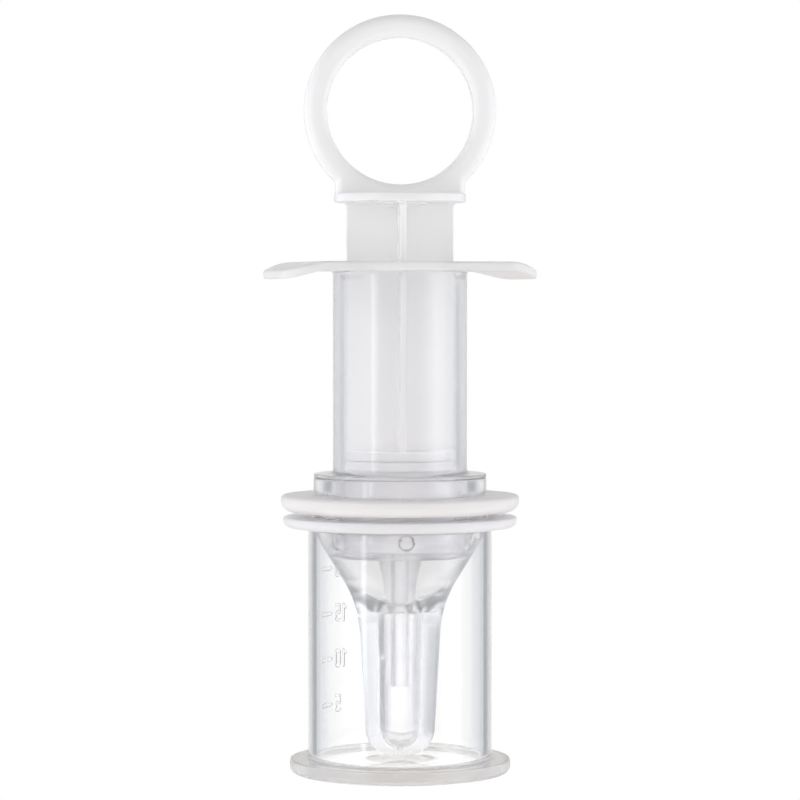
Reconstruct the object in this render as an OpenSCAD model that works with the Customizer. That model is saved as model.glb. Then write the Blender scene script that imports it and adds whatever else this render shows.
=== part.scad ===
// Plunger-type baby medicine dropper standing in its own measuring cup.
// Five mouldings: a clear cup, a silicone feeding nipple, a clear barrel with a
// finger flange and a nozzle, a silicone piston seal and a milky ring-handled plunger.
// The origin is on the floor at the middle of the cup, +Z runs up the common axis,
// and the finger ring is seen face on from -Y.

/* [Measuring cup] */
// Outer radius of the cup wall
cup_wall_r = 15.55; // [15.3:0.05:15.8]
// Inner radius of the cup
cup_bore_r = 14.25; // [14.1:0.05:14.5]
// Radius of the foot flange
cup_foot_r = 18.7; // [17.5:0.1:20]
// Thickness of the foot flange
cup_foot_h = 2.4; // [2:0.1:3]
// Height of the inside floor above the table
cup_floor_z = 2.3; // [2:0.1:2.5]
// Radius of the rim flange
cup_rim_r = 19.8; // [18.5:0.1:20]
// Thickness of the rim flange
cup_rim_h = 1.75; // [1.4:0.05:2]
// Height of the cup
cup_h = 43.4; // [43:0.1:43.6]
// Height on the wall of each 5 mL of the scale
scale_step = 7.84; // [7.5:0.02:8]
// Height of the 5 mL line
scale_first_z = 10.4; // [10:0.1:11]
// Number of scale lines
scale_lines = 4; // [1:1:4]

/* [Nipple] */
// Radius of the nipple's flange
nipple_flange_r = 20.2; // [18:0.1:21]
// Height of the flange's underside
nipple_flange_z = 44.3; // [44:0.1:44.5]
// Thickness of the flange
nipple_flange_h = 2.8; // [2.4:0.1:2.9]
// Radius of the cuff above the flange and of the spigot below it
nipple_cuff_r = 14.65; // [14.6:0.01:14.68]
// Height of the lowest point of the teat
teat_tip_z = 2.9; // [2.7:0.1:3.5]
// Radius of the teat where its rounded tip begins
teat_r = 5.95; // [5.5:0.05:6.2]
// Radius of the teat's rounded tip corner
teat_tip_corner = 4.6; // [4:0.1:5]
// Radius of the feeding hole in the tip
feed_hole_r = 0.25; // [0.2:0.05:0.6]
// Radius of the locating dimples in the socket
dimple_r = 1.35; // [1:0.05:1.5]
// Number of dimples round the socket
dimple_count = 6; // [3:1:8]

/* [Barrel] */
// Outer radius of the barrel tube
tube_r = 11.35; // [11.2:0.05:11.35]
// Bore radius of the barrel
tube_bore_r = 9.6; // [9.6:0.05:9.9]
// Height of the tube's lower end
tube_z = 36.8; // [36.6:0.1:37]
// Height of the bore's floor
bore_floor_z = 38.3; // [38:0.1:38.3]
// Height of the finger flange's upper face
wing_top_z = 86.5; // [80:0.5:90]
// Thickness of the finger flange
wing_t = 1.55; // [1.3:0.05:2]
// Half length of the finger flange
wing_half_l = 22.4; // [21:0.1:26]
// Half width of the finger flange
wing_half_w = 12.2; // [11.8:0.1:13]
// Corner radius of the finger flange
wing_corner = 7.4; // [5:0.1:9]
// How far each wing steps down
wing_drop = 1.5; // [0:0.05:2]
// Distance from the axis at which the wings start to step down
wing_bend_start = 16.2; // [14:0.1:18]
// Distance from the axis at which the wings are flat again
wing_bend_end = 23.2; // [20:0.1:24]
// Turn of the finger flange about the axis
wing_turn = 18; // [0:1:90]
// Radius of the stop flange that rests on the nipple
stop_r = 14.65; // [13:0.05:15]
// Thickness of the stop flange
stop_h = 0.6; // [0.5:0.1:1.5]
// Nozzle radius at its root
nozzle_root_r = 3.9; // [3.5:0.1:4.5]
// Nozzle radius under its root cone
nozzle_top_r = 2.75; // [2.5:0.05:2.8]
// Nozzle radius at its tip
nozzle_tip_r = 2.45; // [2.2:0.05:2.5]
// Height of the nozzle's tip
nozzle_tip_z = 14.9; // [12:0.1:20]
// Radius of the nozzle's bore
nozzle_bore_r = 1.05; // [0.8:0.05:1.4]

/* [Piston seal] */
// Height of the seal
seal_h = 14.5; // [12:0.1:15]
// Radius of the seal between its ribs
seal_body_r = 9.2; // [8.8:0.05:9.3]
// Radius of the sealing ribs
seal_rib_r = 9.57; // [9.5:0.01:9.58]
// Height of each sealing rib
seal_rib_h = 1.5; // [1:0.1:2]

/* [Plunger] */
// Height of the finger ring's centre
ring_z = 111.95; // [108:0.05:116]
// Outer radius of the finger ring
ring_r = 16.25; // [15:0.05:18]
// Radius of the hole in the finger ring
ring_hole_r = 12.4; // [11:0.05:13.5]
// Depth of the finger ring, front to back
ring_depth = 5.4; // [4:0.1:7]
// Half width of the block under the ring
block_half_w = 10.95; // [9:0.05:11]
// Radius of the thumb disc
disc_r = 11.2; // [11:0.05:12]
// Thickness of the thumb disc
disc_h = 1.45; // [1:0.05:2]
// Height of the thumb disc's underside
disc_z = 96.55; // [94:0.05:98]
// Radius of the cross-shaped stem
stem_r = 9.05; // [8:0.05:9.2]
// Thickness of the stem's ribs
rib_t = 1.0; // [0.8:0.1:1.6]
// Radius of the end disc above the seal
end_disc_r = 9.3; // [8.8:0.05:9.4]
// Thickness of the end disc
end_disc_h = 1.7; // [1.2:0.1:2.5]
// Turn of the plunger about the axis
plunger_turn = 3.5; // [-10:0.5:10]

/* [Hidden] */
$fn = 96;

// small edge roundings and fillets, by size
edge_s = 0.3;
edge_m = 0.6;
edge_l = 1.1;
arc_steps = 6;
overlap = 0.05;

// clearances: round fits, and faces that rest on each other
fit = 0.05;
rest_gap = 0.05;

// cup
cup_rim_z = cup_h - cup_rim_h;
cup_mouth_r = nipple_cuff_r + fit;
cup_shoulder_z = cup_h - 1.4;
foot_recess = 0.4;
foot_recess_r = cup_foot_r - 3;
gate_dome_r = 5.15;
gate_dome_h = 1.3;
gate_sphere_r = (gate_dome_r * gate_dome_r + gate_dome_h * gate_dome_h) / (2 * gate_dome_h);
scale_tick_h = 0.75;
scale_tick_out = 0.25;
scale_tick_from = 146.5;
scale_tick_to = 160.5;

// nipple
socket_r = tube_r + fit;
nipple_top_z = nipple_flange_z + nipple_flange_h + 2.95;
spigot_z = cup_shoulder_z + rest_gap;
spigot_low_r = cup_bore_r - 0.15;
spigot_low_z = 40.6;
teat_slope = 0.055;
funnel_slope = 0.61;
funnel_ref = [12.2, 36.84];
teat_base_z = teat_tip_z + teat_tip_corner;
knee_r = 20;
knee_z = (teat_r - teat_slope * teat_base_z - funnel_ref[0] + funnel_slope * funnel_ref[1])
    / (funnel_slope - teat_slope);
knee_x = teat_r + teat_slope * (knee_z - teat_base_z);
teat_a = atan(teat_slope);
funnel_a = atan(funnel_slope);
knee_half = (funnel_a - teat_a) / 2;
knee_tangent = knee_r * tan(knee_half);
knee_start = [knee_x - knee_tangent * sin(teat_a), knee_z - knee_tangent * cos(teat_a)];
knee_centre = [knee_start[0] + knee_r * cos(teat_a), knee_start[1] - knee_r * sin(teat_a)];
funnel_top = [13.6, funnel_ref[1] + (13.6 - funnel_ref[0]) / funnel_slope];
socket_low_z = 37;
funnel_in = [8.5, 33.3];
cone_in_top = [7.1, 31.06];
cone_in_low = [4.25, 27.75];
grip_top_r = 2.83;
grip_low_r = 2.73;
grip_low_z = 19.7;
teat_bore_r = 2.6;
teat_bore_z = 5.3;
dimple_z = 39.85;
dimple_reach = 12;
dimple_first = -85;

// barrel
stop_z = nipple_top_z + rest_gap;
wing_z = wing_top_z - wing_t;
nozzle_root_z = 36.3;
nozzle_cone_z = 31.7;
wing_steps = 10;
wing_far = max(wing_half_l, wing_bend_end) + 1;

// seal and the plunger's head inside it
seal_z = bore_floor_z + 0.15;
seal_top_z = seal_z + seal_h;
rib_inset = 0.7;
head_r = 5.4;
head_neck_r = 3.5;
head_h = 5.6;
head_neck_h = 3.2;
socket_fit = 0.05;
end_disc_z = seal_top_z + rest_gap;

// plunger
ring_edge = 1.7;
stem_fillet = 0.9;

function arc(c, r, a0, a1) =
    [for (i = [0 : arc_steps]) let (a = a0 + (a1 - a0) * i / arc_steps)
        [c[0] + r * cos(a), c[1] + r * sin(a)]];

function smooth(f) = f * f * (3 - 2 * f);

// height lost by the wing at distance s from the axis
function wing_sag(s) =
    wing_drop * smooth(min(1, max(0, (s - wing_bend_start) / (wing_bend_end - wing_bend_start))));

module measuring_cup() {
    color([0.86, 0.89, 0.92, 0.45])
    union() {
        rotate_extrude() polygon(concat(
            [[0, gate_dome_h + foot_recess]],
            [for (i = [1 : arc_steps]) let (x = gate_dome_r * i / arc_steps)
                [x, foot_recess + gate_dome_h - gate_sphere_r + sqrt(gate_sphere_r * gate_sphere_r - x * x)]],
            [[foot_recess_r, foot_recess], [foot_recess_r + foot_recess, 0]],
            arc([cup_foot_r - edge_l, edge_l], edge_l, -90, 0),
            arc([cup_foot_r - edge_s, cup_foot_h - edge_s], edge_s, 0, 90),
            arc([cup_wall_r + edge_m, cup_foot_h + edge_m], edge_m, -90, -180),
            arc([cup_wall_r + edge_m, cup_rim_z - edge_m], edge_m, 180, 90),
            arc([cup_rim_r - edge_l, cup_rim_z + edge_l], edge_l, -90, 0),
            arc([cup_rim_r - edge_s, cup_h - edge_s], edge_s, 0, 90),
            arc([cup_mouth_r + edge_s, cup_h - edge_s], edge_s, 90, 180),
            [[cup_mouth_r, cup_shoulder_z], [cup_bore_r, cup_shoulder_z]],
            arc([cup_bore_r - edge_m, cup_floor_z + edge_m], edge_m, 0, -90),
            [[0, cup_floor_z]]));
        for (i = [0 : scale_lines - 1])
            scale_line(scale_first_z + i * scale_step);
    }
}

// one raised line of the scale, moulded on the outside of the wall
module scale_line(z) {
    reach = cup_wall_r + 2;
    intersection() {
        translate([0, 0, z - scale_tick_h / 2])
        difference() {
            cylinder(r = cup_wall_r + scale_tick_out, h = scale_tick_h);
            translate([0, 0, -1]) cylinder(r = cup_wall_r - overlap, h = scale_tick_h + 2);
        }
        translate([0, 0, z - scale_tick_h])
        linear_extrude(2 * scale_tick_h)
            polygon([[0, 0],
                [reach * cos(scale_tick_from), reach * sin(scale_tick_from)],
                [reach * cos(scale_tick_to), reach * sin(scale_tick_to)]]);
    }
}

module nipple() {
    color([0.90, 0.90, 0.90, 0.5])
    difference() {
        rotate_extrude() polygon(concat(
            [[feed_hole_r, teat_tip_z]],
            arc([teat_r - teat_tip_corner, teat_base_z], teat_tip_corner, -90, -teat_a),
            arc(knee_centre, knee_r, 180 - teat_a, 180 - funnel_a),
            [funnel_top, [spigot_low_r, spigot_low_z], [spigot_low_r, spigot_z]],
            [[nipple_cuff_r, spigot_z], [nipple_cuff_r, nipple_flange_z]],
            arc([nipple_flange_r - 1.9, nipple_flange_z + 1.9], 1.9, -90, 0),
            arc([nipple_flange_r - edge_m, nipple_flange_z + nipple_flange_h - edge_m], edge_m, 0, 90),
            arc([nipple_cuff_r + edge_s, nipple_flange_z + nipple_flange_h + edge_s], edge_s, -90, -180),
            arc([nipple_cuff_r - edge_s, nipple_top_z - edge_s], edge_s, 0, 90),
            [[socket_r + edge_s, nipple_top_z], [socket_r, nipple_top_z - edge_s]],
            [[socket_r, socket_low_z], funnel_in, cone_in_top, cone_in_low],
            [[grip_top_r, cone_in_low[1]], [grip_low_r, grip_low_z], [teat_bore_r, grip_low_z - edge_s]],
            arc([feed_hole_r, teat_bore_z + teat_bore_r - feed_hole_r], teat_bore_r - feed_hole_r, 0, -90)));
        for (i = [0 : dimple_count - 1])
            rotate([0, 0, dimple_first + i * 360 / dimple_count])
            translate([socket_r - 1, 0, dimple_z])
            rotate([0, 90, 0])
                cylinder(r = dimple_r, h = dimple_reach - socket_r + 1);
    }
}

module barrel() {
    color([0.88, 0.91, 0.94, 0.45])
    difference() {
        union() {
            rotate_extrude() polygon(concat(
                [[0, nozzle_tip_z], [nozzle_tip_r - edge_s, nozzle_tip_z]],
                [[nozzle_tip_r, nozzle_tip_z + edge_s], [nozzle_top_r, nozzle_cone_z]],
                [[nozzle_root_r, nozzle_root_z], [nozzle_root_r + tube_z - nozzle_root_z, tube_z]],
                arc([tube_r - edge_l, tube_z + edge_l], edge_l, -90, 0),
                [[tube_r, stop_z], [stop_r, stop_z], [stop_r, stop_z + stop_h]],
                arc([tube_r + edge_m, stop_z + stop_h + edge_m], edge_m, -90, -180),
                arc([tube_r + edge_m, wing_z - edge_m], edge_m, 180, 90),
                [[tube_r + edge_m, wing_z + wing_t / 2], [0, wing_z + wing_t / 2]]));
            finger_flange();
        }
        rotate_extrude() polygon(concat(
            [[0, nozzle_tip_z - 1], [nozzle_bore_r, nozzle_tip_z - 1], [nozzle_bore_r, bore_floor_z]],
            arc([tube_bore_r - edge_m, bore_floor_z + edge_m], edge_m, -90, 0),
            [[tube_bore_r, wing_top_z + 1], [0, wing_top_z + 1]]));
    }
}

// a flat plate with rounded corners whose two ends step down in an S
module finger_flange() {
    rotate([0, 0, wing_turn])
    intersection() {
        translate([0, 0, wing_z - wing_drop - 1])
            linear_extrude(wing_t + wing_drop + 2) rounded_plate();
        rotate([90, 0, 0])
        translate([0, 0, -wing_half_w - 1])
        linear_extrude(2 * wing_half_w + 2)
            polygon(concat(
                wing_line(wing_top_z, 1),
                wing_line(wing_z, -1)));
    }
}

// the wing's bent centre line at height z, from one end to the other
function wing_line(z, way) = let (
    half = concat(
        [[wing_far, z - wing_sag(wing_far)]],
        [for (i = [wing_steps : -1 : 0])
            let (s = wing_bend_start + (wing_bend_end - wing_bend_start) * i / wing_steps)
            [s, z - wing_sag(s)]]),
    other = [for (i = [len(half) - 1 : -1 : 0]) [-half[i][0], half[i][1]]],
    line = concat(half, other))
    way > 0 ? line : [for (i = [len(line) - 1 : -1 : 0]) line[i]];

module rounded_plate() {
    inner_l = wing_half_l - wing_corner;
    inner_w = wing_half_w - wing_corner;
    square([2 * wing_half_l, 2 * inner_w], center = true);
    square([2 * inner_l, 2 * wing_half_w], center = true);
    for (x = [-inner_l, inner_l], y = [-inner_w, inner_w])
        translate([x, y]) circle(r = wing_corner);
}

module piston_seal() {
    color([0.93, 0.93, 0.93, 0.8])
    rotate_extrude() polygon(concat(
        [[0, seal_z], [seal_body_r - edge_m, seal_z], [seal_body_r, seal_z + edge_m]],
        seal_rib(seal_z + rib_inset),
        seal_rib(seal_z + seal_h / 2 - seal_rib_h / 2),
        seal_rib(seal_top_z - rib_inset - seal_rib_h),
        [[seal_body_r, seal_top_z - edge_s], [seal_body_r - edge_s, seal_top_z]],
        [[head_neck_r + socket_fit, seal_top_z]],
        [[head_neck_r + socket_fit, seal_top_z - head_neck_h + socket_fit]],
        [[head_r + socket_fit, seal_top_z - head_neck_h + socket_fit]],
        [[head_r + socket_fit, seal_top_z - head_neck_h - head_h - socket_fit]],
        [[0, seal_top_z - head_neck_h - head_h - socket_fit]]));
}

// outline of one rounded sealing rib that starts at height z
function seal_rib(z) =
    [[seal_body_r, z], [seal_rib_r, z + seal_rib_h * 0.3],
     [seal_rib_r, z + seal_rib_h * 0.7], [seal_body_r, z + seal_rib_h]];

module plunger() {
    color([0.96, 0.96, 0.95, 0.9])
    rotate([0, 0, plunger_turn])
    union() {
        finger_ring();
        rotate_extrude() polygon(concat(
            [[0, disc_z], [disc_r - edge_s, disc_z]],
            arc([disc_r - edge_s, disc_z + edge_s], edge_s, -90, 0),
            arc([disc_r - edge_s, disc_z + disc_h - edge_s], edge_s, 0, 90),
            [[0, disc_z + disc_h]]));
        for (turn = [0, 90])
            rotate([0, 0, turn]) stem_rib();
        rotate_extrude() polygon(concat(
            [[0, end_disc_z]],
            arc([end_disc_r - edge_s, end_disc_z + edge_s], edge_s, -90, 0),
            arc([end_disc_r - edge_s, end_disc_z + end_disc_h - edge_s], edge_s, 0, 90),
            [[0, end_disc_z + end_disc_h]]));
        translate([0, 0, seal_top_z - head_neck_h - overlap])
            cylinder(r = head_neck_r, h = head_neck_h + rest_gap + 2 * overlap);
        translate([0, 0, seal_top_z - head_neck_h - head_h])
            cylinder(r = head_r, h = head_h);
    }
}

// the ring and the block that joins it to the disc
module finger_ring() {
    half = ring_depth / 2;
    difference() {
        union() {
            translate([0, 0, ring_z])
            rotate([90, 0, 0])
            rotate_extrude() polygon(concat(
                [[ring_hole_r, -half + ring_edge], [ring_hole_r + ring_edge * 0.6, -half]],
                arc([ring_r - ring_edge, -half + ring_edge], ring_edge, -90, 0),
                arc([ring_r - ring_edge, half - ring_edge], ring_edge, 0, 90),
                [[ring_hole_r + ring_edge * 0.6, half], [ring_hole_r, half - ring_edge]]));
            translate([-block_half_w, -half, disc_z + disc_h - overlap])
                cube([2 * block_half_w, ring_depth, 4]);
        }
        translate([0, half + 1, ring_z])
        rotate([90, 0, 0])
            cylinder(r = ring_hole_r, h = ring_depth + 2);
    }
}

// one full-width rib of the stem, with fillets under the disc
module stem_rib() {
    low = end_disc_z + end_disc_h - overlap;
    rotate([90, 0, 0])
    translate([0, 0, -rib_t / 2])
    linear_extrude(rib_t)
        polygon(concat(
            [[-stem_r, low], [stem_r, low]],
            arc([stem_r + stem_fillet, disc_z - stem_fillet], stem_fillet, 180, 90),
            [[stem_r + stem_fillet, disc_z + overlap], [-stem_r - stem_fillet, disc_z + overlap]],
            arc([-stem_r - stem_fillet, disc_z - stem_fillet], stem_fillet, 90, 0)));
}

measuring_cup();
nipple();
barrel();
piston_seal();
plunger();
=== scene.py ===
# %% [markdown]
# # A clear medicine dropper, moulded in Blender
# The object is a baby medicine dropper: a milky ring-handled plunger in a clear barrel, a silicone
# nipple over the barrel's nozzle, and a clear measuring cup that it all stands in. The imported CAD
# model is the fixed frame. Clear parts show every flaw in their surfaces, so here each moulding is
# made again as one smooth, closed skin, and a material and studio light are made for it.

import math

import bpy
import numpy as np
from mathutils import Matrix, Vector


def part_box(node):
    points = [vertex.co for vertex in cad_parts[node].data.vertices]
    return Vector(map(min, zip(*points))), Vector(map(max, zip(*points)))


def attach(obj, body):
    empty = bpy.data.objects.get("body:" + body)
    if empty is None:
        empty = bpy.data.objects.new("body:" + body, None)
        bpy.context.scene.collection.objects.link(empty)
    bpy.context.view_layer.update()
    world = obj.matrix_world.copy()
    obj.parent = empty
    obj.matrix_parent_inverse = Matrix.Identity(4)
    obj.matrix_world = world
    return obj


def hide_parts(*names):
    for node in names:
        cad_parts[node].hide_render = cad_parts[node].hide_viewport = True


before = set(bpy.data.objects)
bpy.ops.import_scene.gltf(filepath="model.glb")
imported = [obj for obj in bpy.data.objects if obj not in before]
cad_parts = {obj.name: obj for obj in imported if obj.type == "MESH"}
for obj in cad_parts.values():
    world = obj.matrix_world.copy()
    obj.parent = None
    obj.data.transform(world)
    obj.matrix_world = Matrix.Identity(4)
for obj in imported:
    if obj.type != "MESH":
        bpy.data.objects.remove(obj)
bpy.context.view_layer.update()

# %% [markdown]
# ## The camera
# A long lens far away keeps the verticals straight, as in a catalogue picture. The lens looks down
# by less than two degrees from two thirds of the way up, so the rims below it open into ellipses
# while the finger flange above it is seen almost edge on.

# %% Camera
CAMERA_DISTANCE = 0.559
CAMERA_HEIGHT = 0.0801
CAMERA_DOWN = math.radians(1.74)
LENS_MM = 148.5

camera_data = bpy.data.cameras.new("studio_camera")
camera_data.lens = LENS_MM
camera_data.sensor_width = 36
camera = bpy.data.objects.new("studio_camera", camera_data)
camera.location = (0, -CAMERA_DISTANCE, CAMERA_HEIGHT)
camera.rotation_euler = (math.pi / 2 - CAMERA_DOWN, 0, 0)
bpy.context.scene.collection.objects.link(camera)
bpy.context.scene.camera = camera

# %% [markdown]
# ## Outlines
# Almost everything here is turned on one axis, so its shape is a single outline: a list of
# (radius, height) points in millimetres. Straight stretches need only a few points, and corners
# are arcs. A tiny arc on every edge matters in clear plastic, because it is what catches the light.

# %% Outline helpers
MM = 0.001


def arc(centre, radius, start, end, steps=8):
    """Points on a circle: centre + radius (cos a, sin a), with a running from start to end degrees."""
    a = np.radians(np.linspace(start, end, steps + 1))
    return np.stack([centre[0] + radius * np.cos(a), centre[1] + radius * np.sin(a)], axis=1)


def straight(start, end, steps=1):
    """Points on the line start + t (end - start), with t from 0 to 1."""
    t = np.linspace(0, 1, steps + 1)[:, None]
    return np.array(start, float) * (1 - t) + np.array(end, float) * t


def outline(*stretches):
    """Joins stretches into one outline and drops each point that repeats the one before it."""
    points = np.concatenate([np.atleast_2d(np.array(s, float)) for s in stretches])
    gap = np.linalg.norm(np.diff(points, axis=0), axis=1)
    return points[np.concatenate([[True], gap > 1e-4])]


def smooth_step(x, low, high):
    """0 below low, 1 above high, and 3t^2 - 2t^3 between them."""
    t = np.clip((x - low) / (high - low), 0, 1)
    return t * t * (3 - 2 * t)


# %% [markdown]
# ## From rows of points to a closed skin
# A surface is a grid: each row is a ring of points, and neighbouring rings are joined by
# quadrilaterals. A row on the axis shrinks to one point, which closes the end as a fan of
# triangles. The sign of the enclosed volume tells whether the faces point outwards.

# %% Skin builder
def skin(rings, closed_rows=False):
    """Vertices and faces of a grid of rings, shape (rows, columns, 3). Columns always close on
    themselves, rows do if closed_rows. An end ring of one repeated point becomes a pole."""
    rows, columns = rings.shape[:2]
    pole = [not closed_rows and np.ptp(rings[i], axis=0).max() < 1e-9 for i in (0, -1)]
    first, last = int(pole[0]), rows - int(pole[1])
    body = rings[first:last].reshape(-1, 3)
    count = last - first
    row = np.arange(count if closed_rows else count - 1)[:, None]
    column = np.arange(columns)[None, :]
    here, there = row * columns, (row + 1) % count * columns
    beside = (column + 1) % columns
    quads = np.stack([here + column, here + beside, there + beside, there + column], axis=2)
    faces = quads.reshape(-1, 4).tolist()
    vertices = [body]
    around = np.arange(columns)
    for end, start, turned in ((0, 0, False), (1, (count - 1) * columns, True)):
        if pole[end]:
            tip = np.full(columns, sum(len(v) for v in vertices))
            ring = np.stack([start + around, start + (around + 1) % columns], axis=1)
            ring = ring if turned else ring[:, ::-1]
            faces += np.column_stack([ring, tip]).tolist()
            vertices.append(rings[-1 if end else 0][:1])
    return np.concatenate(vertices), faces


def enclosed_volume(vertices, faces):
    """Sum of the signed tetrahedra from the origin to each face, cut into triangles."""
    triangles = np.array([(f[0], f[i], f[i + 1]) for f in faces for i in range(1, len(f) - 1)])
    a, b, c = (vertices[triangles[:, i]] for i in range(3))
    return np.einsum("ij,ij->i", a, np.cross(b, c)).sum() / 6


def make_mesh(name, vertices, faces):
    """A smooth-shaded mesh object in metres from millimetre points, with its faces outwards."""
    if enclosed_volume(vertices, faces) < 0:
        faces = [f[::-1] for f in faces]
    mesh = bpy.data.meshes.new(name)
    mesh.from_pydata((vertices * MM).tolist(), [], faces)
    mesh.validate()
    mesh.shade_smooth()
    piece = bpy.data.objects.new(name, mesh)
    bpy.context.scene.collection.objects.link(piece)
    return piece


SHARP_ANGLE = math.radians(32)


def even_normals(piece):
    """Keeps real corners sharp and lets the large faces rule the shading of the rest, so that
    flats stay flat beside tiny edge arcs."""
    piece.data.set_sharp_from_angle(angle=SHARP_ANGLE)
    weighted = piece.modifiers.new("even_normals", "WEIGHTED_NORMAL")
    weighted.weight = 50
    weighted.keep_sharp = True
    return piece


def face_middles(piece):
    """Distance from the axis and height of every face's middle, in millimetres."""
    middles = np.zeros(len(piece.data.polygons) * 3, np.float32)
    piece.data.polygons.foreach_get("center", middles)
    middles = middles.reshape(-1, 3) / MM
    return np.hypot(middles[:, 0], middles[:, 1]), middles[:, 2]


def finish_piece(piece, body, node, materials, choice=None):
    """Parents it to its body's empty, hides the CAD node it stands for, and gives it its materials. choice
    holds the number of the material of each face; without it, every face has the first."""
    piece.data.materials.clear()
    for material in materials:
        piece.data.materials.append(material)
    if choice is not None:
        piece.data.polygons.foreach_set("material_index", choice.astype(np.int32))
    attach(piece, body)
    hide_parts(node)
    print(piece.name, len(piece.data.polygons), "faces")
    return piece


# %% [markdown]
# ## Turning an outline
# Spinning an outline makes a lathe surface: x = r cos(a), y = r sin(a), z = height. A relief may
# push the radius in or out by a small amount, which is how a mould's engraving works.

# %% Lathe
def turned(profile, angles, relief=None):
    """Rings of a surface of revolution. relief(angle, radius, height) is added to the radius."""
    r, z = profile[:, :1], profile[:, 1:]
    a = angles[None, :]
    if relief is not None:
        r = r + relief(a, r, z)
    return np.stack(np.broadcast_arrays(r * np.cos(a), r * np.sin(a), z), axis=2)


def full_turn(columns):
    """Evenly spaced angles, in radians, round the axis."""
    return np.linspace(0, 2 * math.pi, columns, endpoint=False)


# %% [markdown]
# ## Moulded skins: the shared shader groups
# Injection-moulded plastic is never perfectly even. Its gloss varies in soft patches where it left
# the mould, and long ripples bend reflections a little. One group gives both, as a roughness and
# a height, and each material sets its own values.

# %% Shader group: moulded_skin
def group_socket(tree, name, direction, kind="NodeSocketFloat", value=None):
    """Adds a named socket to a node group, with a starting value for an input."""
    made = tree.interface.new_socket(name=name, in_out=direction, socket_type=kind)
    if value is not None:
        made.default_value = value
    return made


def moulded_skin_group():
    """Soft patches of gloss and long shallow ripples, from two noises on Object coordinates."""
    tree = bpy.data.node_groups.new("moulded_skin", "ShaderNodeTree")
    group_socket(tree, "Patch Scale", "INPUT", value=60.0)
    group_socket(tree, "Ripple Scale", "INPUT", value=120.0)
    group_socket(tree, "Roughness Low", "INPUT", value=0.02)
    group_socket(tree, "Roughness High", "INPUT", value=0.06)
    group_socket(tree, "Roughness", "OUTPUT")
    group_socket(tree, "Height", "OUTPUT")
    nodes, links = tree.nodes, tree.links
    given, out = nodes.new("NodeGroupInput"), nodes.new("NodeGroupOutput")
    place = nodes.new("ShaderNodeTexCoord")
    patches, ripples = nodes.new("ShaderNodeTexNoise"), nodes.new("ShaderNodeTexNoise")
    patches.inputs["Detail"].default_value = 3
    ripples.inputs["Detail"].default_value = 1
    spread = nodes.new("ShaderNodeMapRange")
    spread.inputs["From Min"].default_value = 0.35
    spread.inputs["From Max"].default_value = 0.65
    links.new(place.outputs["Object"], patches.inputs["Vector"])
    links.new(place.outputs["Object"], ripples.inputs["Vector"])
    links.new(given.outputs["Patch Scale"], patches.inputs["Scale"])
    links.new(given.outputs["Ripple Scale"], ripples.inputs["Scale"])
    links.new(patches.outputs["Fac"], spread.inputs["Value"])
    links.new(given.outputs["Roughness Low"], spread.inputs["To Min"])
    links.new(given.outputs["Roughness High"], spread.inputs["To Max"])
    links.new(spread.outputs["Result"], out.inputs["Roughness"])
    links.new(ripples.outputs["Fac"], out.inputs["Height"])
    return tree


moulded_skin = moulded_skin_group()


# %% [markdown]
# ## Materials
# Clear polypropylene and silicone are both glass to a renderer, but they bend light by different
# amounts: 1.49 and 1.41. The milky plunger is the same plastic without the clarifier, so light
# goes a few millimetres into it and comes out again.

# %% Material helpers
def new_material(name):
    """An empty node material with a Principled shader, returned with its tree and shader."""
    material = bpy.data.materials.new(name)
    material.use_nodes = True
    tree = material.node_tree
    shader = next(n for n in tree.nodes if n.type == "BSDF_PRINCIPLED")
    return material, tree, shader


def add_moulded_skin(tree, shader, low, high, ripple_depth, patch_scale=60.0, ripple_scale=120.0):
    """Places the moulded_skin group and feeds the shader's Roughness and Normal from it."""
    group = tree.nodes.new("ShaderNodeGroup")
    group.node_tree = moulded_skin
    group.inputs["Patch Scale"].default_value = patch_scale
    group.inputs["Ripple Scale"].default_value = ripple_scale
    group.inputs["Roughness Low"].default_value = low
    group.inputs["Roughness High"].default_value = high
    bump = tree.nodes.new("ShaderNodeBump")
    bump.inputs["Strength"].default_value = 1.0
    bump.inputs["Distance"].default_value = ripple_depth
    tree.links.new(group.outputs["Roughness"], shader.inputs["Roughness"])
    tree.links.new(group.outputs["Height"], bump.inputs["Height"])
    tree.links.new(bump.outputs["Normal"], shader.inputs["Normal"])
    return group


def clear_material(name, tint, ior, clarity, low, high, ripple_depth, coat=0.0):
    """Clear plastic or silicone: clarity is the share of light that goes straight on, and the
    rest is scattered back as haze. A coat keeps a crisp gloss over a hazy inside."""
    material, tree, shader = new_material(name)
    shader.inputs["Base Color"].default_value = (*tint, 1)
    shader.inputs["IOR"].default_value = ior
    shader.inputs["Transmission Weight"].default_value = clarity
    shader.inputs["Coat Weight"].default_value = coat
    shader.inputs["Coat Roughness"].default_value = 0.05
    add_moulded_skin(tree, shader, low, high, ripple_depth)
    return material


# %% Clear plastic and clear silicone
# A flange is seen through its whole width, so it has a hazier material than the wall it grows
# from. Gloss may vary, but it keeps to one side of roughness 0.27: the renderer's noise filter
# treats a surface as matt above that, and draws a thin line where a patch crosses it.
PP_IOR = 1.49
SILICONE_IOR = 1.41

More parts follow.
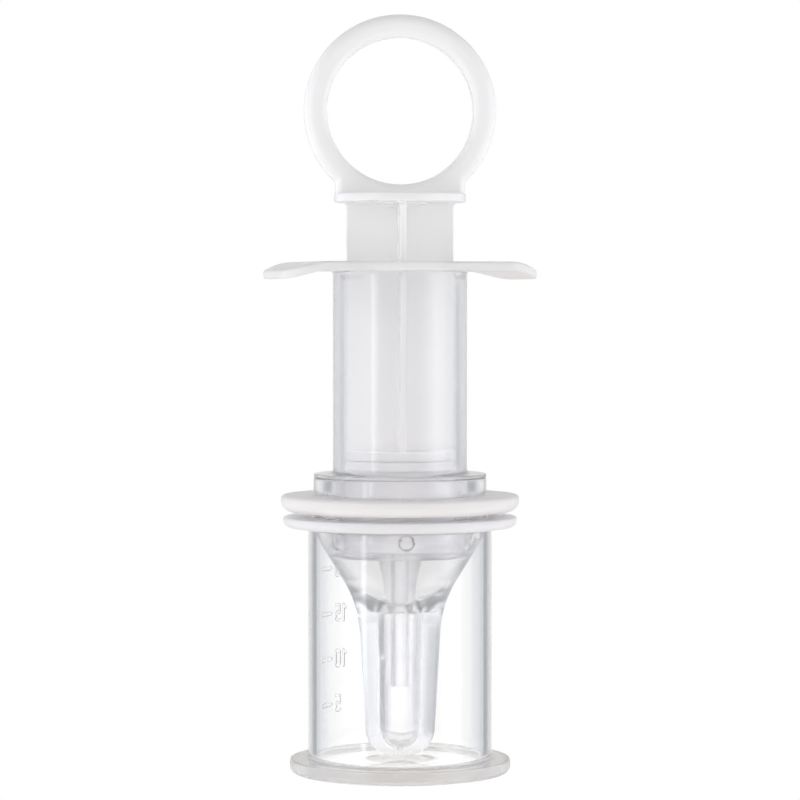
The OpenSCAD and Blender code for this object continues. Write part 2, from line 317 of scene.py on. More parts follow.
cup_plastic = clear_material("cup_plastic", (0.993, 0.994, 0.996), PP_IOR, 0.99, 0.0, 0.015, 0.0)
cup_flange = clear_material("cup_flange", (0.975, 0.97, 0.985), PP_IOR, 0.2, 0.3, 0.38, 2e-6, 0.1)
# The foot plastic is tinted darker and warmer than the cup's: painted shade where the cup stands on the
# floor. Its haze and satin gloss are the underside's own finish.
cup_foot_painted_shade = clear_material("cup_foot_painted_shade", (0.935, 0.915, 0.90), PP_IOR, 0.7, 0.16, 0.24, 2e-6, 0.1)
barrel_plastic = clear_material("barrel_plastic", (0.985, 0.98, 0.99), PP_IOR, 0.84, 0.11, 0.15, 1e-6, 0.3)
wing_plastic = clear_material("wing_plastic", (0.975, 0.965, 0.965), PP_IOR, 0.3, 0.29, 0.34, 0.0, 0.2)
nipple_silicone = clear_material(
    "nipple_silicone", (0.99, 0.988, 0.993), SILICONE_IOR, 0.91, 0.07, 0.13, 1e-6, 0.3)
nipple_flange = clear_material(
    "nipple_flange", (0.995, 0.975, 0.965), SILICONE_IOR, 0.2, 0.3, 0.38, 2e-6, 0.1)


# %% Milky plastic and frosted silicone
def milky_material(name, colour, depth_mm, share, low, high):
    """Translucent white: light scatters a few millimetres below a satin skin."""
    material, tree, shader = new_material(name)
    shader.inputs["Base Color"].default_value = (*colour, 1)
    shader.inputs["IOR"].default_value = PP_IOR
    shader.inputs["Subsurface Weight"].default_value = share
    shader.inputs["Subsurface Radius"].default_value = (1.0, 0.95, 0.9)
    shader.inputs["Subsurface Scale"].default_value = depth_mm * MM
    add_moulded_skin(tree, shader, low, high, 4e-6, patch_scale=90.0)
    return material


plunger_plastic = milky_material("plunger_plastic", (0.97, 0.96, 0.95), 3.0, 0.6, 0.20, 0.24)
seal_silicone = milky_material("seal_silicone", (0.96, 0.955, 0.96), 1.5, 0.3, 0.38, 0.46)

# %% [markdown]
# ## The measuring cup
# One outline gives the whole cup: the domed recess under the foot, the foot and rim flanges, and
# the straight wall. The scale is cut into the mould, so it stands proud of the wall, and its
# numbers read from outside at the back left. Each number is drawn as the path of a round cutter:
# the relief is high wherever the wall is closer to that path than half the cutter's width.

# %% Numbers as cutter paths
cup_high = np.array(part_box("measuring_cup")[1]) / MM
CUP_WALL_R = 15.55
CUP_BORE_R = 14.25
CUP_FLOOR_Z = 2.3
FOOT_R = 18.7
FOOT_H = 2.4
RIM_H = 1.75
CUP_RIM_R = cup_high[0]
CUP_H = cup_high[2]
CUP_RIM_Z = CUP_H - RIM_H

SCALE_Z = 10.4 + 7.84 * np.arange(4)
SCALE_NUMBERS = ("5", "10", "15", "20")
LINE_FROM, LINE_TO = np.radians((146.5, 160.5))
NUMBER_END = np.radians(140.6)
DIGIT_W, DIGIT_H, DIGIT_PITCH = 1.15, 2.75, 1.85
CUTTER_W = 0.42
RELIEF_H = 0.17


def cutter_path(digit):
    """Points every few hundredths of a millimetre along a digit in a box DIGIT_W by DIGIT_H."""
    w, h = DIGIT_W, DIGIT_H
    bowl = w / 2
    paths = {
        "0": [arc((bowl, h - bowl), bowl, 0, 180, 24), straight((0, h - bowl), (0, bowl), 40),
              arc((bowl, bowl), bowl, 180, 360, 24), straight((w, bowl), (w, h - bowl), 40)],
        "1": [straight((w * 0.25, h * 0.78), (w * 0.7, h), 20), straight((w * 0.7, h), (w * 0.7, 0), 60)],
        "2": [arc((bowl, h - bowl), bowl, 170, -30, 30),
              straight((w * 0.93, h - w * 0.75), (0, 0), 50), straight((0, 0), (w, 0), 20)],
        "5": [straight((w * 0.95, h), (w * 0.1, h), 20), straight((w * 0.1, h), (0.02, h * 0.56), 30),
              arc((w * 0.42, h * 0.30), w * 0.62, 125, -140, 40)],
    }
    return np.concatenate(paths[digit])


def near_path(u, v, path, width):
    """1 on the path, falling smoothly to 0 half a width away, for points (u, v)."""
    gap = np.hypot(u[..., None] - path[:, 0], v[..., None] - path[:, 1]).min(axis=-1)
    return 1 - smooth_step(gap, width / 2 - 0.07, width / 2 + 0.07)


def scale_relief(angle, radius, height):
    """Height of the scale above the wall: a bar for each line and a cutter path for each digit."""
    a, z = np.broadcast_arrays(angle, height)
    raised = np.zeros(a.shape)
    wall = np.abs(radius - CUP_WALL_R) < 1e-6
    for line_z, number in zip(SCALE_Z, SCALE_NUMBERS):
        rows = (np.abs(z[:, 0] - line_z) < 2) & wall[:, 0]
        columns = (a[0] > NUMBER_END - 0.25) & (a[0] < LINE_TO + 0.03)
        patch = np.ix_(rows, columns)
        u, v = a[patch] * CUP_WALL_R, z[patch] - line_z
        bar = straight((LINE_FROM * CUP_WALL_R, 0), (LINE_TO * CUP_WALL_R, 0), 60)
        high = near_path(u, v, bar, 0.72)
        for place, digit in enumerate(reversed(number)):
            shift = NUMBER_END * CUP_WALL_R - DIGIT_W - place * DIGIT_PITCH
            high = np.maximum(high, near_path(u - shift, v + DIGIT_H / 2, cutter_path(digit), CUTTER_W))
        raised[patch] = RELIEF_H * high
    return raised


# %% Measuring cup
def cup_outline():
    """From the middle of the underside, round the outside and the rim, to the middle of the floor."""
    recess, dome_r, dome_h = 0.4, 5.15, 1.3
    ball = (dome_r ** 2 + dome_h ** 2) / (2 * dome_h)
    half = math.degrees(math.asin(dome_r / ball))
    mouth_r, shoulder_z = 14.7, CUP_H - 1.4
    fine = np.concatenate([np.arange(-1.75, 1.76, 0.125) + z for z in SCALE_Z])
    wall_z = np.union1d(np.linspace(3.05, CUP_RIM_Z - 0.65, 30), fine)
    wall = np.stack([np.full_like(wall_z, CUP_WALL_R), wall_z], axis=1)
    return outline(
        arc((0, recess + dome_h - ball), ball, 90, 90 - half, 14),
        straight((dome_r + 0.15, recess - 0.02), (FOOT_R - 3.2, recess), 6),
        arc((FOOT_R - 3.2, recess - 0.2), 0.2, 90, 0, 3), arc((FOOT_R - 2.7, 0.3), 0.3, 180, 270, 4),
        arc((FOOT_R - 1.1, 1.1), 1.1, -90, 0, 10), arc((FOOT_R - 0.35, FOOT_H - 0.35), 0.35, 0, 90, 6),
        arc((CUP_WALL_R + 0.6, FOOT_H + 0.6), 0.6, -90, -180, 8),
        wall,
        arc((CUP_WALL_R + 0.6, CUP_RIM_Z - 0.6), 0.6, 180, 90, 8),
        arc((CUP_RIM_R - 1.2, CUP_RIM_Z + 1.2), 1.2, -90, 0, 10),
        arc((CUP_RIM_R - 0.3, CUP_H - 0.3), 0.3, 0, 90, 6),
        arc((mouth_r + 0.3, CUP_H - 0.3), 0.3, 90, 180, 6),
        arc((mouth_r - 0.1, shoulder_z + 0.1), 0.1, 0, -90, 3),
        arc((CUP_BORE_R + 0.1, shoulder_z - 0.1), 0.1, 90, 180, 3),
        arc((CUP_BORE_R - 0.9, CUP_FLOOR_Z + 0.9), 0.9, 0, -90, 10),
        straight((CUP_BORE_R - 1.1, CUP_FLOOR_Z), (0, CUP_FLOOR_Z), 6))


scale_angles = np.radians(np.arange(128, 163, 0.32))
cup_angles = np.union1d(full_turn(180), scale_angles)
cup_profile = cup_outline()
cup = make_mesh("cup_moulding", *skin(turned(cup_profile, cup_angles, scale_relief)))
away, up = face_middles(cup)
on_rim = (away > CUP_WALL_R + 0.3) & (up > CUP_RIM_Z - 0.2)
# The foot, its fillet and the domed underside take the darker foot plastic, which paints shade near the floor
# over their satin finish.
on_foot = ((away > CUP_WALL_R - 1.0) | (away < 5.3)) & (up < FOOT_H - 0.5)
on_foot |= (away > CUP_WALL_R + 0.05) & (up < FOOT_H + 0.5)
finish_piece(even_normals(cup), "measuring_cup", "measuring_cup",
             [cup_plastic, cup_flange, cup_foot_painted_shade], on_rim + 2 * on_foot)

# %% [markdown]
# ## The nipple
# The nipple is a thick silicone moulding. Its outside runs from the rounded tip up a slightly
# tapered teat, through a long bend into the funnel, and out to the flange. Its inside is a set of
# steps that grip the barrel and its nozzle. Six round dimples sit in the socket's wall.

# %% Nipple
nipple_low, nipple_high = (np.array(corner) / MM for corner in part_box("nipple"))
NIPPLE_FLANGE_R = nipple_high[0]
NIPPLE_TOP_Z = nipple_high[2]
TEAT_TIP_Z = nipple_low[2]
NIPPLE_FLANGE_Z, NIPPLE_FLANGE_H = 44.3, 2.8
CUFF_R = 14.65
SOCKET_R = 11.4
FEED_HOLE_R = 0.25
TEAT_R, TEAT_CORNER, TEAT_SLOPE = 5.95, 4.6, 0.055
FUNNEL_SLOPE, FUNNEL_R, FUNNEL_Z = 0.61, 12.2, 36.84
KNEE_R = 20.0
DIMPLE_Z, DIMPLE_R, DIMPLE_DEPTH, DIMPLE_COUNT = 39.85, 1.35, 0.55, 6
DIMPLE_FIRST = math.radians(-85)


def knee():
    """The long bend: an arc of radius KNEE_R that touches the teat's line and the funnel's line."""
    base_z = TEAT_TIP_Z + TEAT_CORNER
    rise = FUNNEL_SLOPE * FUNNEL_Z - TEAT_SLOPE * base_z
    meet_z = (TEAT_R - FUNNEL_R + rise) / (FUNNEL_SLOPE - TEAT_SLOPE)
    meet_r = TEAT_R + TEAT_SLOPE * (meet_z - base_z)
    low, high = math.atan(TEAT_SLOPE), math.atan(FUNNEL_SLOPE)
    reach = KNEE_R * math.tan((high - low) / 2)
    start = (meet_r - reach * math.sin(low), meet_z - reach * math.cos(low))
    centre = (start[0] + KNEE_R * math.cos(low), start[1] - KNEE_R * math.sin(low))
    return arc(centre, KNEE_R, 180 - math.degrees(low), 180 - math.degrees(high), 24)


def nipple_outline():
    """From the feeding hole's lower edge, up the outside, over the cuff and down the inside."""
    base_z = TEAT_TIP_Z + TEAT_CORNER
    flange_top = NIPPLE_FLANGE_Z + NIPPLE_FLANGE_H
    funnel_top_z = FUNNEL_Z + (13.5 - FUNNEL_R) / FUNNEL_SLOPE
    return outline(
        arc((FEED_HOLE_R + 0.12, TEAT_TIP_Z + 0.12), 0.12, 180, 270, 3),
        arc((TEAT_R - TEAT_CORNER, base_z), TEAT_CORNER, -90, -math.degrees(math.atan(TEAT_SLOPE)), 24),
        straight((TEAT_R, base_z), (TEAT_R + TEAT_SLOPE * 14, base_z + 14), 8), knee(),
        straight((13.0, funnel_top_z - 0.5 / FUNNEL_SLOPE), (13.5, funnel_top_z), 2),
        arc((13.1, 40.5), 1.0, -25, 0, 6), straight((14.1, 40.6), (14.1, 41.9), 3),
        arc((CUFF_R - 0.15, 42.2), 0.15, -90, 0, 3),
        arc((CUFF_R + 0.25, NIPPLE_FLANGE_Z - 0.25), 0.25, 180, 90, 4),
        arc((NIPPLE_FLANGE_R - 1.9, NIPPLE_FLANGE_Z + 1.9), 1.9, -90, 0, 14),
        arc((NIPPLE_FLANGE_R - 0.6, flange_top - 0.6), 0.6, 0, 90, 8),
        arc((CUFF_R + 0.3, flange_top + 0.3), 0.3, -90, -180, 5),
        arc((CUFF_R - 0.3, NIPPLE_TOP_Z - 0.3), 0.3, 0, 90, 6),
        arc((SOCKET_R + 0.3, NIPPLE_TOP_Z - 0.3), 0.3, 90, 180, 5),
        straight((SOCKET_R, NIPPLE_TOP_Z - 1), (SOCKET_R, DIMPLE_Z + 2), 6),
        straight((SOCKET_R, DIMPLE_Z + 1.6), (SOCKET_R, DIMPLE_Z - 1.6), 26),
        straight((SOCKET_R, 37.3), (11.15, 36.75), 2), straight((8.7, 33.55), (8.3, 32.98), 2),
        straight((7.2, 31.22), (6.95, 30.9), 2), straight((4.35, 27.86), (4.15, 27.75), 2),
        straight((2.95, 27.75), (2.83, 27.6), 2), straight((2.8, 25.3), (2.73, 19.75), 4),
        straight((2.66, 19.62), (2.6, 19.3), 2), straight((2.6, 17.0), (2.6, 7.5), 5),
        arc((FEED_HOLE_R, 7.5), 2.2, 0, -84, 12),
        straight((FEED_HOLE_R, 5.1), (FEED_HOLE_R, TEAT_TIP_Z + 0.12), 3))


def dimple_relief(angle, radius, height):
    """Round hollows in the socket's wall: a dish of DIMPLE_DEPTH, flat outside DIMPLE_R."""
    a, z, r = np.broadcast_arrays(angle, height, radius)
    pushed = np.zeros(a.shape)
    wall = np.abs(r - SOCKET_R) < 1e-6
    for i in range(DIMPLE_COUNT):
        turn = DIMPLE_FIRST + i * 2 * math.pi / DIMPLE_COUNT
        across = (np.mod(a - turn + math.pi, 2 * math.pi) - math.pi) * SOCKET_R
        gap = np.hypot(across, z - DIMPLE_Z)
        pushed += DIMPLE_DEPTH * (1 - smooth_step(gap, DIMPLE_R - 0.5, DIMPLE_R))
    return pushed * wall


nipple_rings = turned(nipple_outline(), full_turn(300), dimple_relief)
nipple = make_mesh("nipple_moulding", *skin(nipple_rings, closed_rows=True))
away, up = face_middles(nipple)
on_flange = (away > CUFF_R + 0.15) & (up > NIPPLE_FLANGE_Z - 0.1)
finish_piece(even_normals(nipple), "nipple", "nipple",
             [nipple_silicone, nipple_flange], on_flange)

# %% [markdown]
# ## The barrel
# The barrel is turned too, except for its finger flange. The flange's edge is a rounded rectangle
# that is turned about the axis, and its two wings step down in an S. So the rows of the grid that
# lie on the flange are drawn out from the tube's circle to that rectangle, and each point of them
# is lowered by how far along the wing it lies. The whole barrel is still one closed grid.

# %% Rounded rectangle and wing
barrel_low, barrel_high = (np.array(corner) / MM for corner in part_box("barrel"))
WING_TOP_Z = barrel_high[2]
NOZZLE_TIP_Z = barrel_low[2]
TUBE_R, TUBE_BORE_R = 11.35, 9.6
TUBE_Z, BORE_FLOOR_Z = 36.8, 38.3
STOP_Z, STOP_H, STOP_R = NIPPLE_TOP_Z + 0.05, 0.6, 14.65
WING_T = 1.55
WING_HALF_L, WING_HALF_W, WING_CORNER = 22.4, 12.2, 7.4
WING_DROP, BEND_START, BEND_END = 1.5, 16.2, 23.2
WING_TURN = math.radians(18)
WING_EDGE = 0.5
WING_Z = WING_TOP_Z - WING_T


def plate_edge(angle):
    """Point and outward normal of a rounded rectangle along each ray from its middle: on a side
    the ray meets x = half length or y = half width, and on a corner it meets the corner's circle."""
    c, s = np.cos(angle), np.sin(angle)
    ac, as_ = np.maximum(np.abs(c), 1e-9), np.maximum(np.abs(s), 1e-9)
    inner = np.array([WING_HALF_L - WING_CORNER, WING_HALF_W - WING_CORNER])
    along = inner[0] * ac + inner[1] * as_
    reach = along + np.sqrt(np.maximum(along ** 2 - inner @ inner + WING_CORNER ** 2, 0))
    reach = np.where(WING_HALF_L / ac * as_ <= inner[1], WING_HALF_L / ac, reach)
    reach = np.where(WING_HALF_W / as_ * ac <= inner[0], WING_HALF_W / as_, reach)
    x, y = reach * ac, reach * as_
    away = np.stack([np.maximum(x - inner[0], 0), np.maximum(y - inner[1], 0)], axis=1)
    away /= np.linalg.norm(away, axis=1)[:, None]
    signs = np.stack([np.sign(c), np.sign(s)], axis=1)
    return np.stack([x, y], axis=1) * signs, away * signs


def wing_rings(angles):
    """Rings of the flange: out along its underside, round its edge and back over its top."""
    local = angles - WING_TURN
    edge, away = plate_edge(local)
    circle = np.stack([np.cos(local), np.sin(local)], axis=1)
    inset = edge - away * WING_EDGE
    rings = []
    for share in np.linspace(0.04, 1, 18):
        flat = circle * (TUBE_R + 0.6) * (1 - share) + inset * share
        rings.append((flat, WING_Z))
    for centre_z, turns in ((WING_Z + WING_EDGE, (-90, 0)), (WING_TOP_Z - WING_EDGE, (0, 90))):
        for turn in np.radians(np.linspace(*turns, 7)):
            flat = inset + away * WING_EDGE * math.cos(turn)
            rings.append((flat, centre_z + WING_EDGE * math.sin(turn)))
    for share in np.linspace(0.96, 0, 18):
        flat = circle * (TUBE_BORE_R + 0.3) * (1 - share) + inset * share
        rings.append((flat, WING_TOP_Z))
    c, s = math.cos(WING_TURN), math.sin(WING_TURN)
    made = []
    for flat, z in rings:
        sag = WING_DROP * smooth_step(np.abs(flat[:, 0]), BEND_START, BEND_END)
        x, y = flat[:, 0] * c - flat[:, 1] * s, flat[:, 0] * s + flat[:, 1] * c
        made.append(np.stack([x, y, z - sag], axis=1))
    return np.stack(made)


# %% Barrel
def barrel_outer():
    """From the nozzle's tip up the outside to the fillet under the finger flange."""
    return outline(
        straight((1.15, NOZZLE_TIP_Z), (2.15, NOZZLE_TIP_Z), 2),
        arc((2.2, NOZZLE_TIP_Z + 0.25), 0.25, -90, 0, 5),
        straight((2.46, NOZZLE_TIP_Z + 1), (2.73, 31.0), 12),
        arc((7.75, 31.4), 5.0, 180, 167, 5), straight((3.05, 32.95), (3.8, 36.0), 6),
        arc((4.4, 36.2), 0.6, 170, 90, 5), straight((4.7, TUBE_Z), (TUBE_R - 1.1, TUBE_Z), 4),
        arc((TUBE_R - 1.1, TUBE_Z + 1.1), 1.1, -90, 0, 10),
        straight((TUBE_R, 38.2), (TUBE_R, STOP_Z - 0.2), 8),
        arc((TUBE_R + 0.15, STOP_Z - 0.15), 0.15, 180, 90, 3),
        arc((STOP_R - 0.2, STOP_Z + 0.2), 0.2, -90, 0, 4),
        arc((STOP_R - 0.2, STOP_Z + STOP_H - 0.2), 0.2, 0, 90, 4),
        arc((TUBE_R + 0.9, STOP_Z + STOP_H + 0.9), 0.9, -90, -180, 8),
        straight((TUBE_R, STOP_Z + 1.8), (TUBE_R, WING_Z - 0.8), 20),
        arc((TUBE_R + 0.6, WING_Z - 0.6), 0.6, 180, 90, 6))


def barrel_inner():
    """From the bore's mouth down to its floor, and down the nozzle's bore to the tip."""
    return outline(
        arc((TUBE_BORE_R + 0.3, WING_TOP_Z - 0.3), 0.3, 90, 180, 5),
        straight((TUBE_BORE_R, WING_TOP_Z - 0.6), (TUBE_BORE_R, BORE_FLOOR_Z + 0.8), 24),
        arc((TUBE_BORE_R - 0.6, BORE_FLOOR_Z + 0.6), 0.6, 0, -90, 8),
        straight((TUBE_BORE_R - 0.8, BORE_FLOOR_Z), (1.4, BORE_FLOOR_Z), 6),
        arc((1.35, BORE_FLOOR_Z - 0.3), 0.3, 90, 180, 4),
        straight((1.05, 37.6), (1.05, NOZZLE_TIP_Z + 0.1), 16))


barrel_angles = full_turn(288)
barrel_rings = np.concatenate([
    turned(barrel_outer(), barrel_angles),
    wing_rings(barrel_angles),
    turned(barrel_inner(), barrel_angles)])
barrel = make_mesh("barrel_moulding", *skin(barrel_rings, closed_rows=True))
away, up = face_middles(barrel)
on_wing = (away > TUBE_R + 0.3) & (up > WING_Z - WING_DROP - 0.1)
on_wing |= up > WING_TOP_Z - 0.02
finish_piece(even_normals(barrel), "barrel", "barrel",
             [barrel_plastic, wing_plastic], on_wing)

# %% [markdown]
# ## The piston seal
# A silicone plug with three rounded ribs that touch the bore. Its socket for the plunger's head is
# closed in from above, so it is one outline from the middle of its face to the middle of its socket.

# %% Piston seal
seal_low, seal_high = (np.array(corner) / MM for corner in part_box("piston_seal"))
SEAL_Z, SEAL_TOP_Z = seal_low[2], seal_high[2]
SEAL_RIB_R, SEAL_BODY_R = seal_high[0], 9.2
HEAD_R, NECK_R, HEAD_H, NECK_H = 5.4, 3.5, 5.6, 3.2


def seal_rib(z):
    """Half a wave on the seal's side, from z up by 1.5 mm: rib height times the sine squared."""
    t = np.linspace(0, 1, 13)
    swell = (SEAL_RIB_R - SEAL_BODY_R) * np.sin(math.pi * t) ** 2
    return np.stack([SEAL_BODY_R + swell, z + 1.5 * t], axis=1)


def seal_outline():
    """From the middle of the lower face, up the ribbed side, and down into the socket."""
    neck, head = NECK_R + 0.05, HEAD_R + 0.05
    ledge, floor = SEAL_TOP_Z - NECK_H + 0.05, SEAL_TOP_Z - NECK_H - HEAD_H - 0.05
    return outline(
        straight((0, SEAL_Z), (SEAL_BODY_R - 0.8, SEAL_Z), 5),
        arc((SEAL_BODY_R - 0.6, SEAL_Z + 0.6), 0.6, -90, 0, 6),
        seal_rib(SEAL_Z + 0.7), seal_rib((SEAL_Z + SEAL_TOP_Z) / 2 - 0.75), seal_rib(SEAL_TOP_Z - 2.2),
        arc((SEAL_BODY_R - 0.3, SEAL_TOP_Z - 0.3), 0.3, 0, 90, 4),
        arc((neck + 0.2, SEAL_TOP_Z - 0.2), 0.2, 90, 180, 4),
        straight((neck, SEAL_TOP_Z - 0.5), (neck, ledge), 3), straight((neck + 0.1, ledge), (head, ledge), 3),
        straight((head, ledge - 0.1), (head, floor), 6), straight((head - 0.1, floor), (0, floor), 5))


seal = make_mesh("seal_moulding", *skin(turned(seal_outline(), full_turn(160))))
finish_piece(even_normals(seal), "piston_seal", "piston_seal", [seal_silicone])

# %% [markdown]
# ## The plunger
# The plunger is one milky moulding with very different parts: a finger ring on a block, a round
# disc, a stem of two crossed ribs, and the end that holds the seal. Each part is a closed grid,
# and exact boolean unions weld them into one skin, as the mould would.

# %% Ring and block
plunger_high = np.array(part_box("plunger")[1]) / MM
RING_R, RING_HOLE_R, RING_DEPTH, RING_EDGE = 16.25, 12.4, 5.4, 1.9
RING_Z = plunger_high[2] - RING_R
BLOCK_HALF_W = 10.95
DISC_R, DISC_Z, DISC_H = 11.2, 96.55, 1.45
STEM_R, RIB_T = 9.05, 1.0
END_Z, END_R, END_H = SEAL_TOP_Z + 0.05, 9.3, 1.7
PLUNGER_TURN = math.radians(3.5)


def ring_reach(angle):
    """Outer reach of the ring in each direction: the circle, or the block's side or foot where
    that lies further out, blended over about half a millimetre by a power mean."""
    down = RING_Z - DISC_Z - 0.4
    side = BLOCK_HALF_W / np.maximum(np.abs(np.cos(angle)), 1e-6)
    foot = down / np.maximum(-np.sin(angle), 1e-6)
    block = np.minimum(side, foot)
    block = np.where(np.sin(angle) < -0.3, block, 0)
    power = 120
    scaled = np.maximum(block / RING_R, 1e-3)
    return RING_R * (1 + scaled ** power) ** (1 / power)


def ring_rings():
    """A band round the hole: at each angle its section is a rounded rectangle from the hole's
    radius to the reach, with larger roundings outside than inside."""
    angles = np.sort(np.concatenate([full_turn(240), np.radians(np.arange(215, 326, 0.75))]))
    angles = angles[np.concatenate([[True], np.diff(angles) > 1e-5])]
    reach = ring_reach(angles)
    half, inner = RING_DEPTH / 2, 1.2
    hole = np.full_like(reach, RING_HOLE_R + inner)
    section = []
    for turn in np.radians(np.linspace(0, 90, 10)):
        c, s = RING_EDGE * math.cos(turn), RING_EDGE * math.sin(turn)
        section.append((reach - RING_EDGE + c, half - RING_EDGE + s))
    for turn in np.radians(np.linspace(90, 180, 8)):
        section.append((hole + inner * math.cos(turn), half - inner + inner * math.sin(turn)))
    back = [(r, -y) for r, y in section[::-1]]
    rings = []
    for r, y in section + back:
        rings.append(np.stack([r * np.cos(angles), np.full_like(r, y), RING_Z + r * np.sin(angles)], axis=1))
    return np.stack(rings)


# %% Stem
def stem_rings():
    """A plus-shaped section swept up the axis; near the disc the arms spread in a fillet."""
    half, edge = RIB_T / 2, 0.2
    low, high, fillet = END_Z + END_H - 0.3, DISC_Z + 0.3, 0.9
    arm = np.array([(half + edge, half), (half + 0.05, half + 0.05), (half, half + edge), (half, STEM_R / 2)])
    tip = arc((half - edge, -edge), edge, 0, 90, 4)
    heights = np.union1d(np.linspace(low, DISC_Z - fillet, 12), np.linspace(DISC_Z - fillet, high, 9))
    rings = []
    for z in heights:
        lift = max(0.0, min(z, DISC_Z) - (DISC_Z - fillet))
        spread = fillet - math.sqrt(max(fillet ** 2 - lift ** 2, 0))
        reach = STEM_R + spread
        other_tip = (tip * (-1, 1))[::-1]
        quarter = np.concatenate([arm, tip + (0, reach), other_tip + (0, reach), arm[3:] * (-1, 1)])
        turns = []
        for i in range(4):
            c, s = round(math.cos(i * math.pi / 2)), round(math.sin(i * math.pi / 2))
            turns.append(quarter @ np.array([(c, s), (-s, c)]))
        loop = np.concatenate(turns)
        rings.append(np.column_stack([loop, np.full(len(loop), z)]))
    rings = np.stack(rings)
    lids = [np.zeros((1, rings.shape[1], 3)) + (0, 0, z) for z in (heights[0], heights[-1])]
    return np.concatenate([lids[0], rings, lids[1]])


# %% Weld the plunger
def turned_solid(name, *stretches):
    """A closed lathe solid from an outline that starts and ends on the axis."""
    return make_mesh(name, *skin(turned(outline(*stretches), full_turn(128))))


def round_disc(name, radius, low, height, steps, edge=0.3):
    """A disc on the axis, from low up by height, with rounded edges of that many steps."""
    high, rim, flat = low + height, radius - edge, radius - 0.5
    return turned_solid(
        name,
        straight((0, low), (flat, low), 3), arc((rim, low + edge), edge, -90, 0, steps),
        arc((rim, high - edge), edge, 0, 90, steps), straight((flat, high), (0, high), 3))


def weld(base, others):
    """Exact boolean union of closed meshes, applied one after the other to base."""
    for other in others:
        union = base.modifiers.new("weld", "BOOLEAN")
        union.operation, union.solver, union.object = "UNION", "EXACT", other
        evaluated = base.evaluated_get(bpy.context.evaluated_depsgraph_get())
        welded = bpy.data.meshes.new_from_object(evaluated)
        base.modifiers.clear()
        base.data = welded
        bpy.data.objects.remove(other)
    return base


ring = make_mesh("plunger_moulding", *skin(ring_rings(), closed_rows=True))
thumb_disc = round_disc("thumb_disc", DISC_R, DISC_Z, DISC_H, 5)
stem = make_mesh("stem", *skin(stem_rings()))
end_disc = round_disc("end_disc", END_R, END_Z, END_H, 4)
neck_z, head_z = SEAL_TOP_Z - NECK_H, SEAL_TOP_Z - NECK_H - HEAD_H
head = turned_solid(
    "head",
    straight((0, head_z), (HEAD_R - 0.9, head_z), 3), arc((HEAD_R - 0.8, head_z + 0.8), 0.8, -90, 0, 6),
    arc((HEAD_R - 0.4, neck_z - 0.4), 0.4, 0, 90, 4), straight((NECK_R, neck_z), (NECK_R, END_Z + 0.5), 4),
    straight((NECK_R - 0.2, END_Z + 0.5), (0, END_Z + 0.5), 2))
plunger = weld(ring, [thumb_disc, stem, end_disc, head])
turn_c, turn_s = math.cos(PLUNGER_TURN), math.sin(PLUNGER_TURN)
turn = np.array([(turn_c, turn_s, 0), (-turn_s, turn_c, 0), (0, 0, 1)])
points = np.zeros(len(plunger.data.vertices) * 3, np.float32)
plunger.data.vertices.foreach_get("co", points)
plunger.data.vertices.foreach_set("co", (points.reshape(-1, 3) @ turn).astype(np.float32).ravel())
plunger.data.shade_smooth()
finish_piece(even_normals(plunger), "plunger", "plunger", [plunger_plastic])

# %% [markdown]
# ## The studio
# Clear plastic is seen only by what it bends into view. White all round would make it vanish, so
# the studio is a white tent with grey cards at its diagonals: straight on, the background is
# bright, while the cup's wall and the teat's sides bend the view towards a card and turn grey.
#
# A photographer masks one lamp at a time, and the tent does the same by the kind of ray that asks
# it for light: one that came through clear skins, one that mirrors off a surface, or the soft light
# that is scattered. The renderer also samples the tent with rays of no kind at all, for scattered
# light, so the scattered value is the one that holds when no kind is given.

# %% Node helpers
def fill(tree, socket, value):
    """Links value to the socket if it is a socket itself, or else sets it as a number."""
    if isinstance(value, bpy.types.NodeSocket):
        tree.links.new(value, socket)
    else:
        socket.default_value = value


def number_node(tree, operation, first, second=0.0):
    """A Math node; each operand is a socket or a number."""
    node = tree.nodes.new("ShaderNodeMath")
    node.operation = operation
    fill(tree, node.inputs[0], first)
    fill(tree, node.inputs[1], second)
    return node.outputs[0]


def ramp_node(tree, value, low, high, to_low, to_high):
    """A smooth Map Range of value from low..high to to_low..to_high."""
    node = tree.nodes.new("ShaderNodeMapRange")
    node.interpolation_type = "SMOOTHSTEP"
    tree.links.new(value, node.inputs["Value"])
    for name, number in (("From Min", low), ("From Max", high), ("To Min", to_low), ("To Max", to_high)):
        node.inputs[name].default_value = number
    return node.outputs["Result"]


def blend_node(tree, share, first, second, data_type="FLOAT"):
    """A Mix node: first where share is 0 and second where it is 1. Its sockets named Factor, A
    and B are found by name, so the same lines mix numbers or, with RGBA, colours."""
    node = tree.nodes.new("ShaderNodeMix")
    node.data_type = data_type
    for name, value in (("Factor", share), ("A", first), ("B", second)):
        fill(tree, node.inputs[name], value)
    return node.outputs["Result"]


# %% Directions and ray kinds
world = bpy.data.worlds.new("white_tent")
bpy.context.scene.world = world
world.use_nodes = True
tent = world.node_tree
background = next(n for n in tent.nodes if n.type == "BACKGROUND")
split = tent.nodes.new("ShaderNodeSeparateXYZ")
tent.links.new(tent.nodes.new("ShaderNodeTexCoord").outputs["Generated"], split.inputs[0])
x, y, z = split.outputs
off_middle = number_node(tent, "ABSOLUTE", x)
flat_square = number_node(
    tent, "ADD", number_node(tent, "MULTIPLY", x, x), number_node(tent, "MULTIPLY", y, y))
sideways = number_node(tent, "DIVIDE", off_middle, number_node(tent, "SQRT", flat_square))
path = tent.nodes.new("ShaderNodeLightPath")
is_camera = path.outputs["Is Camera Ray"]
is_bent = path.outputs["Is Transmission Ray"]
is_mirrored = number_node(tent, "SUBTRACT", path.outputs["Is Glossy Ray"], is_bent)
skins = path.outputs["Transmission Depth"]
print("tent directions and ray kinds:", len(tent.nodes), "nodes")

# %% [markdown]
# ### Cards
# The cards stand upright at the diagonals, so their place is an angle from straight on, which
# sideways gives as a sine. A view through the cup or the barrel alone crosses four skins at most
# and sees the wall card, which darkens in two steps. A view through the nipple too crosses more
# and sees the deep card, which is darker on the left, where the teat's edge is.

